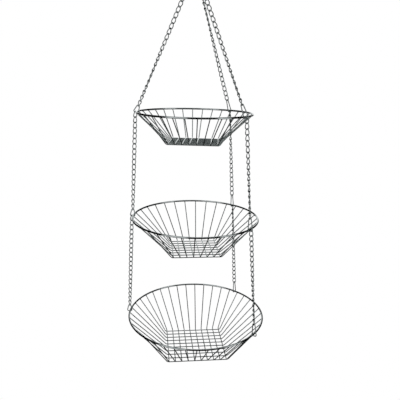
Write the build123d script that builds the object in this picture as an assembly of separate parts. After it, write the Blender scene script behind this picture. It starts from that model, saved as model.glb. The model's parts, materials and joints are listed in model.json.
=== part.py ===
from build123d import *
import os
from math import atan2, ceil, cos, degrees, radians, sin, sqrt

os.makedirs("parts", exist_ok=True)

# A three tier wire basket that hangs from a ceiling hook on three chains.
# Lengths are in millimetres. The origin is on the ceiling, on the axis of the hook's screw, +Z up.

# Wire thicknesses
rim_wire = 3.8
basket_wire = 2.0
link_wire = 1.8
clasp_wire = 2.0
ring_wire = 3.0
hook_wire = 4.4

# Clearances and welds
linked_gap = 0.5
swing_gap = 0.8
beside_rim_gap = 1.1
link_play = 0.25
rim_seat_gap = 0.1
weld_depth = 0.4
crossing_weld = 0.3

# Baskets, from the top tier down
top_rim_diameter = 237.0
middle_rim_diameter = 269.0
bottom_rim_diameter = 301.0
top_depth = 58.0
middle_depth = 72.5
bottom_depth = 81.5
top_wires_each_way = 8
middle_wires_each_way = 8
bottom_wires_each_way = 10
wire_spacing = 14.06
base_overhang = 3.4
base_bend_radius = 6.0
top_turn_angle = -4.3
middle_turn_angle = 4.3
bottom_turn_angle = 4.3
basket_tilt_angle = 1.35

# Heights between the parts that hang on each other
upper_chain_drop = 270.0
middle_tier_drop = 221.8
bottom_tier_drop = 229.0

# The baskets' axis beside the hook's axis, where the whole load hangs plumb under the hook
basket_axis_x = -2.55
basket_axis_y = -1.64

# Chains: where they meet the rims and the ring, and how far the links turn along each one
chain_angles = {"left": 175.0, "rear_right": 49.0, "front_right": -37.5}
upper_chain_half_turns = {"left": 0, "rear_right": -1, "front_right": 1}
hanging_chain_quarter_turns = {"left": -1, "rear_right": -1, "front_right": 1}
ring_place_y = {"left": 1.4, "rear_right": 5.0, "front_right": -5.0}

# Chain link: a round wire bent to an oval and twisted end to end
link_length = 14.95
link_width = 8.8
link_end_twist = 45.0

# Clasp: the pear of wire that joins a chain to a rim, short down the left side
clasp_lengths = {"left": 18.0, "rear_right": 30.0, "front_right": 30.0}
clasp_slack = 0.6

# Gathering ring
ring_inner_diameter = 26.0

# Ceiling hook
hook_inner_radius = 9.0
hook_neck_length = 8.0
hook_neck_turn = 70.0
hook_tip_angle = 18.0
hook_collar_diameter = 14.0
hook_collar_thickness = 1.6
screw_length = 20.0
screw_point_length = 6.0
screw_point_diameter = 1.0

# Radii and lengths that follow
rim_r = rim_wire / 2
basket_r = basket_wire / 2
link_r = link_wire / 2
clasp_r = clasp_wire / 2
ring_r = ring_wire / 2
hook_r = hook_wire / 2
link_reach = link_length / 2 - link_r
link_half_width = link_width / 2 - link_r
ring_mid_radius = ring_inner_diameter / 2 + ring_r
hook_mid_radius = hook_inner_radius + hook_r

HALF_TURN = 180.0
QUARTER_TURN = 90.0
UP = Vector(0, 0, 1)


# Wire shapes
def tube(edges, radius):
    """A round wire along lines and arcs, each tangent to the next."""
    pieces = []
    for edge in edges:
        section = Plane(origin=edge @ 0, z_dir=edge % 0) * Circle(radius)
        pieces.append(sweep(section, path=edge))
    return pieces[0].fuse(*pieces[1:]).solid()


def rounded_run(points, bend_radius):
    """Straight runs through the points, with a tangent arc of one radius at every corner."""
    edges = []
    start = points[0]
    for before, corner, after in zip(points, points[1:], points[2:]):
        into = (corner - before).normalized()
        out = (after - corner).normalized()
        cut = bend_radius * sqrt((1 - into.dot(out)) / (1 + into.dot(out)))
        bend_start = corner - into * cut
        bend_end = corner + out * cut
        edges.append(Line(start, bend_start))
        edges.append(TangentArc(bend_start, bend_end, tangent=into))
        start = bend_end
    edges.append(Line(start, points[-1]))
    return edges


# Chain link
def arc_meeting_point(start, start_way, end, end_way):
    """The point where an arc from the start and an arc into the end meet in one direction."""
    span = end - start
    ways = start_way + end_way
    turn = 2 * (1 - start_way.dot(end_way))
    reach = (sqrt(span.dot(ways) ** 2 + turn * span.dot(span)) - span.dot(ways)) / turn
    return (start + end + (start_way - end_way) * reach) / 2


def chain_link():
    """An oval of wire, its two ends turned against each other, as eight arcs round a closed loop."""
    twist = radians(link_end_twist)
    top = Vector(0, 0, link_reach)
    side = Vector(link_half_width, 0, 0)
    top_way = Vector(cos(twist), sin(twist), 0)
    side_way = Vector(0, -link_half_width * twist / link_reach, -1).normalized()
    meeting = arc_meeting_point(top, top_way, side, side_way)
    quarter = [TangentArc(top, meeting, tangent=top_way), TangentArc(side, meeting, tangent=side_way * -1)]
    arcs = []
    for axis in (None, Axis.X, Axis.Y, Axis.Z):
        for arc in quarter:
            arcs.append(arc if axis is None else arc.rotate(axis, HALF_TURN))
    return tube(arcs, link_r)


def chain(top_seat, top_offset, bottom_seat, bottom_offset, top_lay, lay_turn):
    """Links from a wire centred at the top seat down to one at the bottom seat.

    The offsets are from those centres to the end links' own wire. The wire at the top seat
    runs in the direction top_lay, seen from above, and the first link lies across it. The
    links turn by lay_turn about the chain from first to last.
    """
    way = (top_seat - bottom_seat).normalized()
    top = top_seat + way * top_offset
    bottom = bottom_seat - way * bottom_offset
    travel = (top - bottom).length - 2 * link_reach
    steps = ceil(travel / (2 * link_reach - link_wire - link_play))
    pitch = travel / steps
    frame = Plane(origin=top, x_dir=Vector(1, 0, 0) - way * way.X, z_dir=way)
    links = []
    for step in range(steps + 1):
        lay = top_lay + QUARTER_TURN - link_end_twist + lay_turn * step / steps
        links.append(frame.location * Pos(0, 0, -link_reach - pitch * step) * Rot(0, 0, lay) * link)
    return links


# Places of the tiers
class Tier:
    def __init__(self, name, rim_diameter, depth, count, turn, rim_z):
        self.name = name
        self.radius = rim_diameter / 2
        self.depth = depth
        self.count = count
        self.centre = Location((basket_axis_x, basket_axis_y, rim_z), (0, basket_tilt_angle, 0))
        self.place = self.centre * Rot(0, 0, turn)

    def rim_point(self, angle):
        """The centre of the rim's wire at an angle seen from above."""
        a = radians(angle)
        return (self.centre * Pos(self.radius * cos(a), self.radius * sin(a), 0)).position


# Basket
def basket_rim(tier):
    return tier.place * Torus(tier.radius, rim_r).solid()


def basket_wires(tier, crosswise):
    """One set of side by side wires: flat across the base, bent up and fanned out to the rim."""
    half = wire_spacing * (tier.count - 1) / 2
    edge = half + base_overhang
    layer_offset = basket_r - crossing_weld / 2
    z = -tier.depth + (-layer_offset if crosswise else layer_offset)
    fan_step = radians(QUARTER_TURN / tier.count)
    wires = []
    for i in range(tier.count):
        across = i * wire_spacing - half
        fan = fan_step * (i - (tier.count - 1) / 2)
        points = []
        for side in (1, -1):
            corner = Vector(across, side * edge, z)
            at_rim = Vector(tier.radius * sin(fan), side * tier.radius * cos(fan), 0)
            end = at_rim + (corner - at_rim).normalized() * (rim_r - weld_depth)
            points.extend([end, corner] if side == 1 else [corner, end])
        if crosswise:
            points = [Vector(p.Y, p.X, p.Z) for p in points]
        wires.append(tier.place * tube(rounded_run(points, base_bend_radius), basket_r))
    return wires


# Clasp, in its own frame: the rim's wire runs through the origin along Y, +X is outwards
clasp_hug = rim_r + clasp_r + rim_seat_gap
link_beside_rim = rim_r + link_r + beside_rim_gap
link_above_clasp = clasp_r + link_r + linked_gap
clasp_outer_x = link_beside_rim + link_above_clasp + clasp_slack
clasp_far_x = clasp_outer_x - clasp_hug
clasp_top_r = clasp_r + link_r + swing_gap
clasp_top_x = clasp_far_x / 2


def clasp_top_z(length):
    """Height of the top bend's centre in a clasp of one length."""
    return length - clasp_wire - clasp_top_r - clasp_hug


def outer_tangent(x, side, length):
    """Where the leg on one side leaves the lower bend centred at x, and meets the top bend."""
    low = Vector(x, 0, 0)
    high = Vector(clasp_top_x, 0, clasp_top_z(length))
    way = (high - low).normalized()
    along = (clasp_hug - clasp_top_r) / (high - low).length
    out = way * along + Vector(way.Z, 0, -way.X) * side * sqrt(1 - along**2)
    return low + out * clasp_hug, high + out * clasp_top_r


def rim_clasp(length):
    """A closed pear of wire, narrow at the top, whose lower bend holds the rim and a link beside it."""
    right_low, right_high = outer_tangent(clasp_far_x, 1, length)
    left_low, left_high = outer_tangent(0, -1, length)
    bottom_left = Vector(0, 0, -clasp_hug)
    bottom_right = Vector(clasp_far_x, 0, -clasp_hug)
    edges = [
        Line(bottom_left, bottom_right),
        TangentArc(bottom_right, right_low, tangent=bottom_right - bottom_left),
        Line(right_low, right_high),
        TangentArc(right_high, left_high, tangent=right_high - right_low),
        Line(left_high, left_low),
        TangentArc(left_low, bottom_left, tangent=left_low - left_high),
    ]
    return tube(edges, clasp_r)


class ClaspPlace:
    """Where a clasp hangs on a rim, leaning towards the point that its chain comes from."""

    def __init__(self, tier, angle, above, length):
        a = radians(angle)
        self.length = length
        self.rim_point = tier.rim_point(angle)
        to_above = above - self.rim_point
        inwards = -(to_above.X * cos(a) + to_above.Y * sin(a))
        self.lean = degrees(atan2(inwards, to_above.Z))
        self.location = Pos(self.rim_point) * Rot(0, 0, angle) * Rot(0, -self.lean, 0)

    def point(self, x, z):
        return (self.location * Pos(x, 0, z)).position

    def top_seat(self):
        """Centre of the clasp's wire where it hangs in its chain's last link."""
        return self.point(clasp_top_x, clasp_top_z(self.length) + clasp_top_r)

    def bottom_seat(self):
        """Centre of the clasp's wire under a link that hangs plumb in it, beside the rim."""
        lean = radians(self.lean)
        rise = clasp_hug - link_above_clasp * cos(lean)
        x = sqrt(link_beside_rim**2 - rise**2) - link_above_clasp * sin(lean)
        return self.point(x, -clasp_hug)


# Heights
hook_neck_radius = hook_mid_radius * cos(radians(hook_neck_turn)) / (1 - cos(radians(hook_neck_turn)))
hook_centre_z = -hook_neck_length - (hook_neck_radius + hook_mid_radius) * sin(radians(hook_neck_turn))
hook_bottom_z = hook_centre_z - hook_mid_radius
ring_top_z = hook_bottom_z + hook_r + ring_r + linked_gap
ring_centre_z = ring_top_z - ring_mid_radius
ring_bottom_z = ring_centre_z - ring_mid_radius
top_rim_z = ring_bottom_z - upper_chain_drop
middle_rim_z = top_rim_z - middle_tier_drop
bottom_rim_z = middle_rim_z - bottom_tier_drop

top_tier = Tier("top", top_rim_diameter, top_depth, top_wires_each_way, top_turn_angle, top_rim_z)
middle_tier = Tier(
    "middle", middle_rim_diameter, middle_depth, middle_wires_each_way, middle_turn_angle, middle_rim_z
)
bottom_tier = Tier(
    "bottom", bottom_rim_diameter, bottom_depth, bottom_wires_each_way, bottom_turn_angle, bottom_rim_z
)
tiers = (top_tier, middle_tier, bottom_tier)


def ring_seat(side):
    """Centre of the gathering ring's wire under a chain's first link."""
    y = ring_place_y[side]
    return Vector(0, y, ring_centre_z - sqrt(ring_mid_radius**2 - y**2))


clasp_places = {}
for side, angle in chain_angles.items():
    above = ring_seat(side)
    for tier in tiers:
        place = ClaspPlace(tier, angle, above, clasp_lengths[side])
        clasp_places[tier.name, side] = place
        above = place.bottom_seat()


# Ring and ceiling hook
def gathering_ring():
    return Pos(0, 0, ring_centre_z) * Rot(0, QUARTER_TURN, 0) * Torus(ring_mid_radius, ring_r).solid()


def ceiling_hook():
    """A screw with a collar, whose shank turns into an open hook right under it."""
    turn = radians(hook_neck_turn)
    neck_bottom = Vector(0, 0, -hook_neck_length)
    bend_start = Vector(-hook_mid_radius * cos(turn), 0, hook_centre_z + hook_mid_radius * sin(turn))
    bend_size = HALF_TURN + hook_neck_turn + hook_tip_angle
    bend = CenterArc((0, hook_centre_z), hook_mid_radius, HALF_TURN - hook_neck_turn, bend_size)
    bend = (Plane.XZ * bend).edge()
    edges = [
        Line(Vector(0, 0, screw_length), neck_bottom),
        TangentArc(neck_bottom, bend_start, tangent=UP * -1),
        bend,
    ]
    tip = Pos(bend @ 1) * Sphere(hook_r)
    align = (Align.CENTER, Align.CENTER, Align.MIN)
    collar = Pos(0, 0, -hook_collar_thickness) * Cylinder(
        hook_collar_diameter / 2, hook_collar_thickness, align=align
    )
    point = Pos(0, 0, screw_length) * Cone(
        hook_r, screw_point_diameter / 2, screw_point_length, align=align
    )
    return tube(edges, hook_r).fuse(tip, collar, point).solid()


# Pieces
link = chain_link()
pieces = {"ceiling_hook": [ceiling_hook()], "gathering_ring": [gathering_ring()]}
for tier in tiers:
    pieces[f"{tier.name}_rim"] = [basket_rim(tier)]
    pieces[f"{tier.name}_wires_front_to_back"] = basket_wires(tier, False)
    pieces[f"{tier.name}_wires_side_to_side"] = basket_wires(tier, True)
    for side in chain_angles:
        place = clasp_places[tier.name, side]
        pieces[f"{tier.name}_clasp_{side}"] = [place.location * rim_clasp(place.length)]

for side, angle in chain_angles.items():
    pieces[f"upper_chain_{side}"] = chain(
        ring_seat(side),
        ring_r + link_r + swing_gap,
        clasp_places["top", side].top_seat(),
        clasp_top_r,
        -QUARTER_TURN,
        angle + HALF_TURN * upper_chain_half_turns[side],
    )
    for name, over, under in (("middle", "top", "middle"), ("lower", "middle", "bottom")):
        links = chain(
            clasp_places[over, side].bottom_seat(),
            link_above_clasp,
            clasp_places[under, side].top_seat(),
            clasp_top_r,
            angle,
            QUARTER_TURN * hanging_chain_quarter_turns[side],
        )
        pieces[f"{name}_chain_{side}_first_link"] = links[:1]
        pieces[f"{name}_chain_{side}"] = links[1:-1]
        pieces[f"{name}_chain_{side}_last_link"] = links[-1:]

for name, solids in pieces.items():
    export_step(Compound(solids), f"parts/{name}.step")
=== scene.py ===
import json
import math

import bmesh
import bpy
import numpy as np
from mathutils import Matrix, Vector


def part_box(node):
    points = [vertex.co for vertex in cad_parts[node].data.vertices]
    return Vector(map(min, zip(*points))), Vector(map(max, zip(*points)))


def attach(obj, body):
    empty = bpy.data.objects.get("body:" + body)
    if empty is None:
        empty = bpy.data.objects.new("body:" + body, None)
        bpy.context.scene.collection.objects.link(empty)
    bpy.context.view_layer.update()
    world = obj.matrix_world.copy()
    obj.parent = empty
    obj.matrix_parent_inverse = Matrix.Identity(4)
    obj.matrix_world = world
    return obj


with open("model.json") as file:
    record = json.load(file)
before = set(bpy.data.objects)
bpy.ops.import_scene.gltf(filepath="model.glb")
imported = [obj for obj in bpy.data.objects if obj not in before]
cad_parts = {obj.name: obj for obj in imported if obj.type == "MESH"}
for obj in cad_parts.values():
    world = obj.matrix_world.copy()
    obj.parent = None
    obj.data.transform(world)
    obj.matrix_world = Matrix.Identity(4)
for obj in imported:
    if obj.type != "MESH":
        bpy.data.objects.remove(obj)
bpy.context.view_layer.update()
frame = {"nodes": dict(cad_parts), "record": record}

# Metres and degrees, in the frame's own axes: the ceiling is at z = 0, the photographed front faces -Y.

# Wires
RIM_R = 0.0019
WIRE_R = 0.001
RING_R = 0.0015
RING_MID_R = 0.0145
LINK_WIRE_R = 0.0009

# Baskets. The wires of each side spread over one quarter of the rim.
TIERS = {
    "top": {"count": 8, "turn": -4.3, "depth": 0.058},
    "middle": {"count": 8, "turn": 4.3, "depth": 0.0725},
    "bottom": {"count": 10, "turn": 4.3, "depth": 0.0815},
}
TILT = 1.35
WIRE_SPACING = 0.01406
BASE_OVERHANG = 0.0034
CROSSING_OVERLAP = 0.0003
SIDE_SPREAD = 90

# Plating: its bright and dull colours, its least and greatest roughness, how strongly its dents show, and
# the size of the clouds in it
FINISHES = {
    "rim_chrome": {"bright": (0.57, 0.61, 0.61), "dull": (0.45, 0.49, 0.49), "roughness": (0.05, 0.14),
                   "dents": 0.1, "cloud_size": 0.012},
    "wire_chrome": {"bright": (0.51, 0.57, 0.56), "dull": (0.37, 0.42, 0.42), "roughness": (0.1, 0.24),
                    "dents": 0.2, "cloud_size": 0.004},
    "clasp_chrome": {"bright": (0.51, 0.57, 0.56), "dull": (0.36, 0.41, 0.41), "roughness": (0.08, 0.22),
                     "dents": 0.2, "cloud_size": 0.004},
    "chain_chrome": {"bright": (0.5, 0.55, 0.54), "dull": (0.3, 0.34, 0.34), "roughness": (0.1, 0.28),
                     "dents": 0.3, "cloud_size": 0.004},
    "hook_chrome": {"bright": (0.57, 0.61, 0.61), "dull": (0.45, 0.49, 0.49), "roughness": (0.06, 0.18),
                    "dents": 0.15, "cloud_size": 0.008},
    "weld_metal": {"bright": (0.42, 0.46, 0.46), "dull": (0.22, 0.25, 0.25), "roughness": (0.22, 0.45),
                   "dents": 0.6, "cloud_size": 0.0016},
}
CLOUD_DETAIL = 4.0
CLOUD_ROUGHNESS = 0.55
MARKS_PER_CLOUD = 6
MARK_DETAIL = 2.5
MARK_ROUGHNESS = 0.5
DENT_DEPTH = 0.0001

# Noise patterns: the values at which the plate is all dull and all bright, and the range that most lie in
DULL_VALUE = 0.34
BRIGHT_VALUE = 0.6
NOISE_LOW = 0.3
NOISE_HIGH = 0.7

# Weld collar at the end of a wire, as (distance from the rim's centre along the wire, radius) rings
COLLAR_SIDES = 12
COLLAR_RINGS = ((0.001, 0.0015), (0.0019, 0.00144), (0.0023, 0.00122), (0.003, 0.00095))
COLLAR_UNEVEN = 0.08

# Weld bead in a crossing
BEAD_R = 0.00142
BEAD_HALF_HEIGHT = 0.00055
BEAD_SEGMENTS = 8
BEAD_RINGS = 4
BEAD_UNEVEN = 0.1

# All welds
UNEVEN_STEP = 2.4
SMOOTH_ANGLE = 50.0

# Butt welds that close the rims and the gathering ring, as (place along the wire, radius) rings, both over
# the wire's own radius
SEAM_SIDES = 16
SEAM_RINGS = ((-0.55, 0.96), (-0.4, 1.03), (-0.14, 1.07), (0.14, 1.07), (0.4, 1.03), (0.55, 0.96))
SEAM_ANGLES = {"top": 104.0, "middle": 97.0, "bottom": 111.0}
RING_SEAM_ANGLE = 100.0

# Weld in one side of each chain link, the one that faces more towards WELDED_SIDE, with rings as above. The
# wire's middle is LINK_SIDE beside the link's. It leans there by LINK_SIDE_SLOPE, as the link is twisted.
LINK_SIDE = 0.0035
LINK_SIDE_SLOPE = 0.418
LINK_WELD_SIDES = 8
LINK_WELD_RINGS = ((-0.8, 0.94), (-0.45, 1.09), (0, 1.16), (0.45, 1.09), (0.8, 0.94))
LINK_WELD_UNEVEN = 0.06
WELDED_SIDE = Vector((0.8, 0.5, 0.3))
MERGE_DISTANCE = 1e-7

# Screw thread over the ceiling hook's shank
THREAD_PITCH = 0.0022
THREAD_ROOT_R = 0.0021
THREAD_CREST_R = 0.0027
THREAD_WIDTH = 0.0003
THREAD_START_Z = 0.0012
THREAD_STEPS_PER_TURN = 16
THREAD_FADE_STEPS = 10
THREAD_POINT_SHARE = 0.85
SCREW_LENGTH = 0.02
SCREW_POINT_LENGTH = 0.006
SCREW_POINT_R = 0.0005

# Camera, beside the top basket's centre
CAMERA_FROM_TOP_RIM = (-0.0175, -0.9694, 0.0784)
CAMERA_PITCH = -15.13
CAMERA_YAW = -1.64
CAMERA_ROLL = -0.13
CAMERA_LENS = 42.25
CAMERA_SENSOR = 36.0

# Floor and backdrop
FLOOR_Z = -2.3
FLOOR_SIZE = 14.0
FLOOR_COLOUR = (0.9, 0.9, 0.9, 1)
FLOOR_ROUGHNESS = 0.9
ROOM_COLOUR = (0.3, 0.3, 0.3, 1)
WHITE = (1, 1, 1, 1)

# Dark tent, with a window at the back
TENT_RADIUS = 2.4
TENT_LOW = -2.2
TENT_HIGH = 2.0
TENT_PANELS = 72
TENT_OPENING = 24
TENT_OPENING_LOW = -1.5
TENT_OPENING_HIGH = 0.35
CLOTH_COLOUR = (0.012, 0.012, 0.013, 1)

# Soft boxes, which face the middle basket. Azimuth 0 is in front of it and 90 is to its right.
LIGHT_TARGET_Z = -0.55
SOFT_BOXES = {
    "left_front_light": {"azimuth": -36, "distance": 1.8, "width": 1.4, "height": 2.8, "centre_z": -0.5,
                         "radiance": 1.0},
    "right_front_light": {"azimuth": 57, "distance": 1.8, "width": 0.9, "height": 2.8, "centre_z": -0.5,
                          "radiance": 1.0},
    "overhead_light": {"azimuth": 180, "distance": 0.4, "width": 1.8, "height": 1.9, "centre_z": 1.5,
                       "radiance": 0.9},
}


def named(name):
    """The object that was just added, under a name of its own."""
    obj = bpy.context.active_object
    obj.name = name
    obj.data.name = name
    return obj


def start_from_nothing_selected():
    bpy.ops.object.select_all(action="DESELECT")


# Materials
def new_material(name):
    material = bpy.data.materials.new(name)
    material.use_nodes = True
    tree = material.node_tree
    return material, tree, tree.nodes["Principled BSDF"]


def noise(tree, coordinates, size, detail, roughness):
    """A cloud pattern whose lumps are about one size across, in metres."""
    node = tree.nodes.new("ShaderNodeTexNoise")
    node.inputs["Scale"].default_value = 1 / size
    node.inputs["Detail"].default_value = detail
    node.inputs["Roughness"].default_value = roughness
    tree.links.new(coordinates, node.inputs["Vector"])
    return node.outputs["Fac"]


def clouded_colour(tree, clouds, dull, bright):
    """From the dull colour to the bright one, along a cloud pattern."""
    node = tree.nodes.new("ShaderNodeValToRGB")
    low, high = node.color_ramp.elements
    low.position = DULL_VALUE
    low.color = (*dull, 1)
    high.position = BRIGHT_VALUE
    high.color = (*bright, 1)
    tree.links.new(clouds, node.inputs["Fac"])
    return node.outputs["Color"]


def spread(tree, pattern, low, high):
    """A noise pattern spread over another range."""
    node = tree.nodes.new("ShaderNodeMapRange")
    node.inputs["From Min"].default_value = NOISE_LOW
    node.inputs["From Max"].default_value = NOISE_HIGH
    node.inputs["To Min"].default_value = low
    node.inputs["To Max"].default_value = high
    tree.links.new(pattern, node.inputs["Value"])
    return node.outputs["Result"]


def plated_steel(name, bright, dull, roughness, dents, cloud_size):
    """Chrome plate: a mirror that clouds a little where it is handled, with fine dents and rub marks."""
    material, tree, shader = new_material(name)
    coordinates = tree.nodes.new("ShaderNodeTexCoord").outputs["Object"]
    clouds = noise(tree, coordinates, cloud_size, CLOUD_DETAIL, CLOUD_ROUGHNESS)
    marks = noise(tree, coordinates, cloud_size / MARKS_PER_CLOUD, MARK_DETAIL, MARK_ROUGHNESS)
    shader.inputs["Metallic"].default_value = 1.0
    tree.links.new(clouded_colour(tree, clouds, dull, bright), shader.inputs["Base Color"])
    tree.links.new(spread(tree, marks, *roughness), shader.inputs["Roughness"])
    bump = tree.nodes.new("ShaderNodeBump")
    bump.inputs["Strength"].default_value = dents
    bump.inputs["Distance"].default_value = DENT_DEPTH
    tree.links.new(marks, bump.inputs["Height"])
    tree.links.new(bump.outputs["Normal"], shader.inputs["Normal"])
    return material


PLATING = {name: plated_steel(name, **finish) for name, finish in FINISHES.items()}


def plating_for(node):
    if "chain" in node:
        return PLATING["chain_chrome"]
    if "clasp" in node:
        return PLATING["clasp_chrome"]
    if "rim" in node:
        return PLATING["rim_chrome"]
    if "wires" in node:
        return PLATING["wire_chrome"]
    return PLATING["hook_chrome"]


# Plate the frame's own wires
for name, obj in frame["nodes"].items():
    obj.data.materials.clear()
    obj.data.materials.append(plating_for(name))


# Forms and places of the welds
def move_region(move):
    bpy.ops.mesh.extrude_region_move(TRANSFORM_OT_translate={"value": move})


def closed_sleeve(name, sides, rings):
    """A closed round shape along +Z, through (place, radius) rings."""
    start_from_nothing_selected()
    first_z, first_r = rings[0]
    bpy.ops.mesh.primitive_circle_add(
        vertices=sides, radius=first_r, fill_type="NGON", location=(0, 0, first_z)
    )
    sleeve = named(name)
    bpy.ops.object.transform_apply(location=True, rotation=True, scale=True)
    bpy.ops.object.mode_set(mode="EDIT")
    bpy.ops.mesh.select_all(action="SELECT")
    for (z, r), (next_z, next_r) in zip(rings, rings[1:]):
        move_region((0, 0, next_z - z))
        bpy.ops.transform.resize(value=(next_r / r, next_r / r, 1), center_override=(0, 0, next_z))
    bpy.ops.mesh.select_all(action="SELECT")
    bpy.ops.mesh.normals_make_consistent(inside=False)
    bpy.ops.object.mode_set(mode="OBJECT")
    return sleeve


def wire_sleeve(name, sides, rings, wire_radius):
    """A closed sleeve whose rings are given over the radius of the wire that it is on."""
    sized_rings = [(place * wire_radius, radius * wire_radius) for place, radius in rings]
    return closed_sleeve(name, sides, sized_rings)


def crossing_bead(name):
    """Metal squeezed out round the spot where two crossed wires are welded."""
    start_from_nothing_selected()
    bpy.ops.mesh.primitive_uv_sphere_add(segments=BEAD_SEGMENTS, ring_count=BEAD_RINGS, radius=BEAD_R)
    bead = named(name)
    bpy.ops.object.mode_set(mode="EDIT")
    bpy.ops.mesh.select_all(action="SELECT")
    bpy.ops.transform.resize(value=(1, 1, BEAD_HALF_HEIGHT / BEAD_R), center_override=(0, 0, 0))
    bpy.ops.transform.rotate(value=math.pi / BEAD_SEGMENTS, orient_axis="Z", center_override=(0, 0, 0))
    bpy.ops.object.mode_set(mode="OBJECT")
    return bead


def copies(original, places):
    """The original at every place, each copy with a mesh of its own, joined as one piece."""
    copied = []
    for place in places:
        copy = original.copy()
        copy.data = original.data.copy()
        bpy.context.scene.collection.objects.link(copy)
        copy.matrix_world = place
        copied.append(copy)
    start_from_nothing_selected()
    for copy in copied:
        copy.select_set(True)
    bpy.context.view_layer.objects.active = copied[0]
    bpy.ops.object.transform_apply(location=True, rotation=True, scale=True)
    if len(copied) > 1:
        bpy.ops.object.join()
    name = original.name
    start_from_nothing_selected()
    original.select_set(True)
    bpy.ops.object.delete()
    piece = copied[0]
    piece.name = name
    piece.data.name = name
    start_from_nothing_selected()
    piece.select_set(True)
    bpy.context.view_layer.objects.active = piece
    bpy.ops.object.shade_smooth_by_angle(angle=math.radians(SMOOTH_ANGLE))
    return piece


def finished(piece, material, body):
    piece.data.materials.clear()
    piece.data.materials.append(material)
    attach(piece, body)


def uneven(index, share):
    """One, give or take a share that differs from weld to weld."""
    return 1 + share * math.sin(index * UNEVEN_STEP)


def pointing(position, direction, size):
    """A place with +Z along a direction, and a size across it."""
    turned = Vector(direction).to_track_quat("Z", "X").to_matrix().to_4x4()
    return Matrix.Translation(position) @ turned @ Matrix.Diagonal((size, size, 1, 1))


# Baskets
def tier_place(tier):
    """The rim's centre, with the basket's tilt and turn."""
    low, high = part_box(f"{tier}_rim")
    tilt = Matrix.Rotation(math.radians(TILT), 4, "Y")
    turn = Matrix.Rotation(math.radians(TIERS[tier]["turn"]), 4, "Z")
    return Matrix.Translation((low + high) / 2) @ tilt @ turn


def rim_radius(tier):
    low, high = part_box(f"{tier}_rim")
    return (high.y - low.y) / 2 - RIM_R


def wire_lines(tier):
    """Places of the basket's wires beside its middle, in wire order."""
    count = TIERS[tier]["count"]
    return [(i - (count - 1) / 2) * WIRE_SPACING for i in range(count)]


def rim_welds(tier):
    """A collar of weld metal where each end of each wire meets the rim."""
    count = TIERS[tier]["count"]
    radius = rim_radius(tier)
    lines = wire_lines(tier)
    edge = lines[-1] + BASE_OVERHANG
    layer = WIRE_R - CROSSING_OVERLAP / 2
    fan_step = math.radians(SIDE_SPREAD / count)
    places = []
    for crosswise in (False, True):
        z = -TIERS[tier]["depth"] + (-layer if crosswise else layer)
        for i, across in enumerate(lines):
            fan = fan_step * (i - (count - 1) / 2)
            for side in (1, -1):
                at_rim = Vector((radius * math.sin(fan), side * radius * math.cos(fan), 0))
                corner = Vector((across, side * edge, z))
                if crosswise:
                    at_rim = at_rim.yxz
                    corner = corner.yxz
                place = pointing(at_rim, corner - at_rim, uneven(len(places), COLLAR_UNEVEN))
                places.append(tier_place(tier) @ place)
    collar = closed_sleeve(f"{tier}_rim_welds", COLLAR_SIDES, COLLAR_RINGS)
    finished(copies(collar, places), PLATING["weld_metal"], f"{tier}_tier")


def crossing_welds(tier):
    """A bead in every crossing of the base's wires."""
    lines = wire_lines(tier)
    places = []
    for x in lines:
        for y in lines:
            size = uneven(len(places), BEAD_UNEVEN)
            place = Matrix.Translation((x, y, -TIERS[tier]["depth"])) @ Matrix.Scale(size, 4)
            places.append(tier_place(tier) @ place)
    bead = crossing_bead(f"{tier}_crossing_welds")
    finished(copies(bead, places), PLATING["weld_metal"], f"{tier}_tier")


def butt_weld(name, wire_radius, circle_place, circle_radius, angle, body):
    """The raised seam that closes a circle of wire, at an angle round it."""
    seam = wire_sleeve(name, SEAM_SIDES, SEAM_RINGS, wire_radius)
    a = math.radians(angle)
    at_seam = Vector((circle_radius * math.cos(a), circle_radius * math.sin(a), 0))
    along = Vector((-math.sin(a), math.cos(a), 0))
    place = circle_place @ pointing(at_seam, along, 1)
    finished(copies(seam, [place]), PLATING["weld_metal"], body)


def rim_seam(tier):
    butt_weld(
        f"{tier}_rim_seam",
        RIM_R,
        tier_place(tier),
        rim_radius(tier),
        SEAM_ANGLES[tier],
        f"{tier}_tier",
    )


# Gathering ring
def ring_seam():
    low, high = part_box("gathering_ring")
    upright = Matrix.Translation((low + high) / 2) @ Matrix.Rotation(math.pi / 2, 4, "Y")
    butt_weld("ring_seam", RING_R, upright, RING_MID_R, RING_SEAM_ANGLE, "gathering_ring")


# Chain links
def links_of(node):
    """The points of every link of a chain, link by link."""
    mesh = bmesh.new()
    mesh.from_mesh(frame["nodes"][node].data)
    bmesh.ops.remove_doubles(mesh, verts=mesh.verts, dist=MERGE_DISTANCE)
    links = []
    seen = set()
    for start in mesh.verts:
        if start in seen:
            continue
        seen.add(start)
        link = [start]
        for vert in link:
            beside = [edge.other_vert(vert) for edge in vert.link_edges]
            fresh = [other for other in beside if other not in seen]
            seen.update(fresh)
            link.extend(fresh)
        links.append(np.array([vert.co for vert in link]))
    mesh.free()
    return links


def link_weld_place(points, index):
    """The middle of one side of a link, with +Z along its wire there."""
    centre = points.mean(axis=0)
    # A link is least wide through its thickness, wider from side to side, and widest along its length.
    directions = np.linalg.eigh(np.cov((points - centre).T))[1]
    side = Vector(directions[:, 1])
    length = Vector(directions[:, 2])
    if side.dot(WELDED_SIDE) < 0:
        side = -side
    along = length.cross(side) * LINK_SIDE_SLOPE + length
    return pointing(Vector(centre) + side * LINK_SIDE, along, uneven(index, LINK_WELD_UNEVEN))


def link_welds(body, nodes):
    places = []
    for node in nodes:
        for points in links_of(node):
            places.append(link_weld_place(points, len(places)))
    weld = wire_sleeve(f"{body}_link_welds", LINK_WELD_SIDES, LINK_WELD_RINGS, LINK_WIRE_R)
    finished(copies(weld, places), PLATING["weld_metal"], body)


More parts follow.
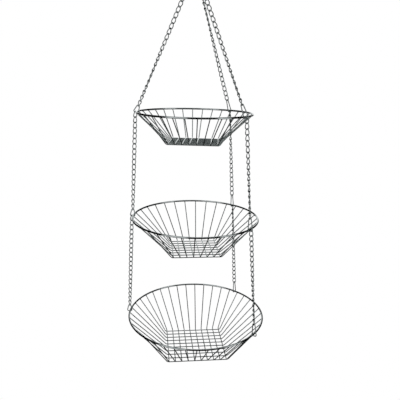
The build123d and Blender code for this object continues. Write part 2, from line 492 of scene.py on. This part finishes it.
# Screw thread
def root_radius(z):
    """How far the thread's root is from the screw's axis, at a height."""
    if z <= SCREW_LENGTH:
        return THREAD_ROOT_R
    along = min((z - SCREW_LENGTH) / SCREW_POINT_LENGTH, 1)
    return THREAD_ROOT_R + (SCREW_POINT_R - THREAD_ROOT_R) * along


def screw_thread():
    """A thin ridge wound up the hook's shank and point, faded in at its start and tapered on the point."""
    start_from_nothing_selected()
    z = THREAD_START_Z
    middle_r = (THREAD_ROOT_R + THREAD_CREST_R) / 2
    bpy.ops.mesh.primitive_plane_add(size=1, location=(middle_r, 0, z), rotation=(math.pi / 2, 0, 0))
    thread = named("screw_thread")
    thread.scale = (THREAD_CREST_R - THREAD_ROOT_R, THREAD_WIDTH, 1)
    bpy.ops.object.transform_apply(location=True, rotation=True, scale=True)
    rise = THREAD_PITCH / THREAD_STEPS_PER_TURN
    steps = round((SCREW_LENGTH + SCREW_POINT_LENGTH * THREAD_POINT_SHARE - z) / rise)
    faded = THREAD_ROOT_R / THREAD_CREST_R
    fade_step = faded ** (1 / THREAD_FADE_STEPS)
    bpy.ops.object.mode_set(mode="EDIT")
    bpy.ops.mesh.select_all(action="SELECT")
    bpy.ops.transform.resize(value=(faded, faded, 1), center_override=(0, 0, z))
    for step in range(steps):
        move_region((0, 0, rise))
        bpy.ops.transform.rotate(
            value=2 * math.pi / THREAD_STEPS_PER_TURN, orient_axis="Z", center_override=(0, 0, z)
        )
        widen = root_radius(z + rise) / root_radius(z)
        if step < THREAD_FADE_STEPS:
            widen = 1 / fade_step
        bpy.ops.transform.resize(value=(widen, widen, 1), center_override=(0, 0, z))
        z += rise
    bpy.ops.mesh.select_all(action="SELECT")
    bpy.ops.mesh.normals_make_consistent(inside=False)
    bpy.ops.object.mode_set(mode="OBJECT")
    bpy.ops.object.shade_smooth_by_angle(angle=math.radians(SMOOTH_ANGLE))
    finished(thread, PLATING["hook_chrome"], "ceiling_hook")


for tier in TIERS:
    rim_welds(tier)
    crossing_welds(tier)
    rim_seam(tier)
for body, nodes in frame["record"]["behaviour"]["bodies"].items():
    chains = [node for node in nodes if "chain" in node]
    if chains:
        link_welds(body, chains)
ring_seam()
screw_thread()


# Room, light and camera
def seen_as_background(tree):
    """One where a ray comes from the camera, or by way of metal or glass."""
    path = tree.nodes.new("ShaderNodeLightPath")
    seen = path.outputs["Is Camera Ray"]
    for ray in ("Is Glossy Ray", "Is Transmission Ray"):
        either = tree.nodes.new("ShaderNodeMath")
        either.operation = "MAXIMUM"
        tree.links.new(seen, either.inputs[0])
        tree.links.new(path.outputs[ray], either.inputs[1])
        seen = either.outputs["Value"]
    return seen


def white_where_seen(tree, lit, white):
    """The lit surface for the light in the room, and plain white where the background is seen."""
    mix = tree.nodes.new("ShaderNodeMixShader")
    tree.links.new(seen_as_background(tree), mix.inputs["Fac"])
    tree.links.new(lit, mix.inputs[1])
    tree.links.new(white, mix.inputs[2])
    return mix.outputs["Shader"]


def pale_floor():
    start_from_nothing_selected()
    bpy.ops.mesh.primitive_plane_add(size=FLOOR_SIZE, location=(0, 0, FLOOR_Z))
    floor = named("floor")
    material, tree, shader = new_material("floor_paint")
    shader.inputs["Base Color"].default_value = FLOOR_COLOUR
    shader.inputs["Roughness"].default_value = FLOOR_ROUGHNESS
    glow = tree.nodes.new("ShaderNodeEmission")
    glow.inputs["Color"].default_value = WHITE
    surface = white_where_seen(tree, shader.outputs["BSDF"], glow.outputs["Emission"])
    tree.links.new(surface, tree.nodes["Material Output"].inputs["Surface"])
    floor.data.materials.append(material)


def white_backdrop():
    world = bpy.data.worlds.new("studio")
    bpy.context.scene.world = world
    world.use_nodes = True
    tree = world.node_tree
    tree.nodes.clear()
    room = tree.nodes.new("ShaderNodeBackground")
    room.inputs["Color"].default_value = ROOM_COLOUR
    white = tree.nodes.new("ShaderNodeBackground")
    white.inputs["Color"].default_value = WHITE
    output = tree.nodes.new("ShaderNodeOutputWorld")
    surface = white_where_seen(tree, room.outputs["Background"], white.outputs["Background"])
    tree.links.new(surface, output.inputs["Surface"])


def dark_tent():
    """Dark cloth around the baskets, open at the back. The chrome is dark where it shows the cloth."""
    start_from_nothing_selected()
    height = TENT_HIGH - TENT_LOW
    bpy.ops.mesh.primitive_cylinder_add(
        vertices=TENT_PANELS, radius=TENT_RADIUS, depth=height, location=(0, 0, TENT_LOW + height / 2)
    )
    tent = named("dark_tent")
    bpy.ops.object.transform_apply(location=True, rotation=True, scale=True)
    bpy.ops.object.mode_set(mode="EDIT")
    for z in (TENT_OPENING_LOW, TENT_OPENING_HIGH):
        bpy.ops.mesh.select_all(action="SELECT")
        bpy.ops.mesh.bisect(plane_co=(0, 0, z), plane_no=(0, 0, 1))
    bpy.ops.mesh.select_mode(type="FACE")
    bpy.ops.mesh.select_all(action="DESELECT")
    bpy.ops.object.mode_set(mode="OBJECT")
    half_width = TENT_RADIUS * math.sin(math.radians(TENT_OPENING))
    for face in tent.data.polygons:
        x, y, z = face.center
        in_height = TENT_OPENING_LOW < z < TENT_OPENING_HIGH
        face.select = in_height and abs(x) < half_width and y > TENT_RADIUS / 2
    bpy.ops.object.mode_set(mode="EDIT")
    bpy.ops.mesh.delete(type="FACE")
    bpy.ops.object.mode_set(mode="OBJECT")
    material, tree, shader = new_material("dark_cloth")
    shader.inputs["Base Color"].default_value = CLOTH_COLOUR
    shader.inputs["Roughness"].default_value = 1.0
    shader.inputs["Specular IOR Level"].default_value = 0.0
    tent.data.materials.append(material)
    tent.visible_camera = False


def soft_box(name, azimuth, distance, width, height, centre_z, radiance):
    """A lit screen that faces the middle basket."""
    light = bpy.data.lights.new(name, "AREA")
    light.shape = "RECTANGLE"
    light.size = width
    light.size_y = height
    # An even screen gives off pi times its radiance from every square metre.
    light.energy = radiance * math.pi * width * height
    obj = bpy.data.objects.new(name, light)
    a = math.radians(azimuth)
    obj.location = (distance * math.sin(a), -distance * math.cos(a), centre_z)
    target = Vector((0, 0, LIGHT_TARGET_Z))
    obj.rotation_euler = (target - obj.location).to_track_quat("-Z", "Y").to_euler()
    obj.visible_camera = False
    bpy.context.scene.collection.objects.link(obj)


def camera():
    data = bpy.data.cameras.new("camera")
    data.lens = CAMERA_LENS
    data.sensor_width = CAMERA_SENSOR
    obj = bpy.data.objects.new("camera", data)
    low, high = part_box("top_rim")
    obj.location = (low + high) / 2 + Vector(CAMERA_FROM_TOP_RIM)
    turn = Matrix.Rotation(math.radians(CAMERA_YAW), 4, "Z")
    pitch = Matrix.Rotation(math.radians(90 + CAMERA_PITCH), 4, "X")
    roll = Matrix.Rotation(math.radians(CAMERA_ROLL), 4, "Z")
    obj.rotation_euler = (turn @ pitch @ roll).to_euler()
    bpy.context.scene.collection.objects.link(obj)
    bpy.context.scene.camera = obj


pale_floor()
white_backdrop()
dark_tent()
for name, screen in SOFT_BOXES.items():
    soft_box(name, **screen)
camera()
bpy.context.scene.view_settings.view_transform = "Standard"
